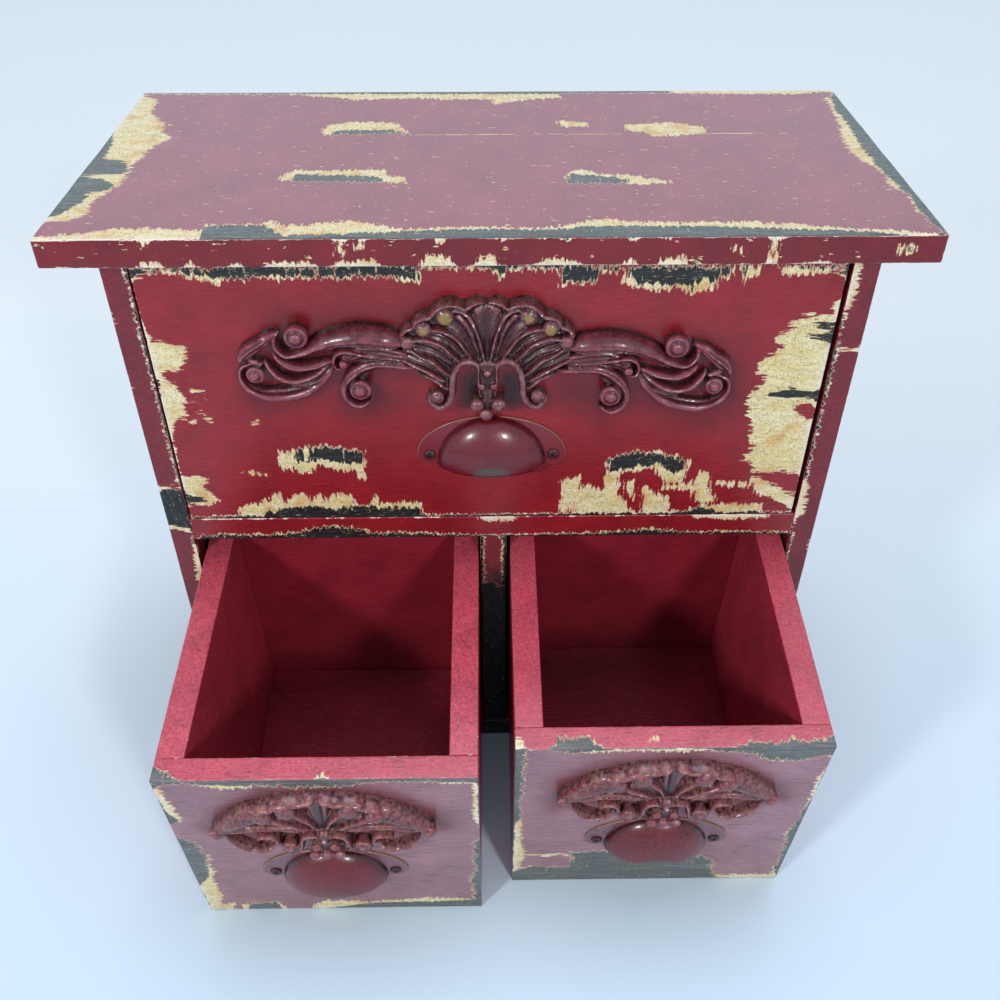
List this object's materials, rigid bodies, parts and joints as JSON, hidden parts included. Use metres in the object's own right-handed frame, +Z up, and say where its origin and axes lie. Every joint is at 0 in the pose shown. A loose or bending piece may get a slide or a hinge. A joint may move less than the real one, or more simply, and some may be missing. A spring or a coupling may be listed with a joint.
{
  "type": "mini chest of drawers",
  "caption": "Tabletop chest with a wide drawer over two small ones, cup pulls and carved shell-and-scroll ornaments, in worn red paint.",
  "frame": {"origin": "centre of the case's underside", "axes": "+Z up, +X to the right along the chest's width, +Y to the back; the drawers open towards -Y"},
  "size_m": [0.35, 0.2848, 0.321],
  "materials": {
    "painted_wood": "satin red paint over cream and black coats, worn at the edges",
    "thin_panel": "thin board in dull red paint",
    "painted_casting": "cast relief under glossy red paint, rubbed grey on its ridges",
    "painted_pull": "pressed steel cup under glossy red paint",
    "pull_screws": "painted over, dark in the cross recess",
    "nail_steel": "dull wire-drawn steel"
  },
  "bodies": {
    "case": {"back_panel": "thin_panel", "back_panel_brads": "nail_steel", "bottom_board": "painted_wood", "centre_divider": "painted_wood", "left_panel_nails": "nail_steel", "left_side_panel": "painted_wood", "right_panel_nails": "nail_steel", "right_side_panel": "painted_wood", "shelf": "painted_wood", "top_board": "painted_wood", "top_board_nails": "nail_steel"},
    "upper_drawer": {"upper_brads": "nail_steel", "upper_cup_pull": "painted_pull", "upper_floor": "thin_panel", "upper_front": "painted_wood", "upper_left_scroll": "painted_casting", "upper_left_wall": "painted_wood", "upper_palmette": "painted_casting", "upper_pull_screws": "pull_screws", "upper_rear": "painted_wood", "upper_right_scroll": "painted_casting", "upper_right_wall": "painted_wood"},
    "left_tip": {"left_pivot_nail": "nail_steel"},
    "left_drawer": {"left_drawer_brads": "nail_steel", "left_drawer_crest": "painted_casting", "left_drawer_cup_pull": "painted_pull", "left_drawer_floor": "thin_panel", "left_drawer_front": "painted_wood", "left_drawer_left_wall": "painted_wood", "left_drawer_pull_screws": "pull_screws", "left_drawer_rear": "painted_wood", "left_drawer_right_wall": "painted_wood"},
    "right_tip": {"right_pivot_nail": "nail_steel"},
    "right_drawer": {"right_drawer_brads": "nail_steel", "right_drawer_crest": "painted_casting", "right_drawer_cup_pull": "painted_pull", "right_drawer_floor": "thin_panel", "right_drawer_front": "painted_wood", "right_drawer_left_wall": "painted_wood", "right_drawer_pull_screws": "pull_screws", "right_drawer_rear": "painted_wood", "right_drawer_right_wall": "painted_wood"}
  },
  "joints": [
    {"name": "upper_drawer_slide", "type": "slide", "parent": "case", "child": "upper_drawer", "axis": [0, -1, 0], "range_m": [0, 0.1]},
    {"name": "left_drawer_tip", "type": "hinge", "parent": "case", "child": "left_tip", "pos_m": [0, -0.071, 0.006], "axis": [1, 0, 0], "range_deg": [-6.32, 0]},
    {"name": "left_drawer_slide", "type": "slide", "parent": "left_tip", "child": "left_drawer", "axis": [0, -0.9939, -0.1101], "range_m": [-0.1085, 0]},
    {"name": "right_drawer_tip", "type": "hinge", "parent": "case", "child": "right_tip", "pos_m": [0, -0.071, 0.006], "axis": [1, 0, 0], "range_deg": [-7.2, 0]},
    {"name": "right_drawer_slide", "type": "slide", "parent": "right_tip", "child": "right_drawer", "axis": [0, -0.9921, -0.1253], "range_m": [-0.0945, 0]}
  ],
  "couplings": [
    {"joint": "left_drawer_tip", "follows": "left_drawer_slide", "rad_per_m": 1.017},
    {"joint": "right_drawer_tip", "follows": "right_drawer_slide", "rad_per_m": 1.3298}
  ]
}
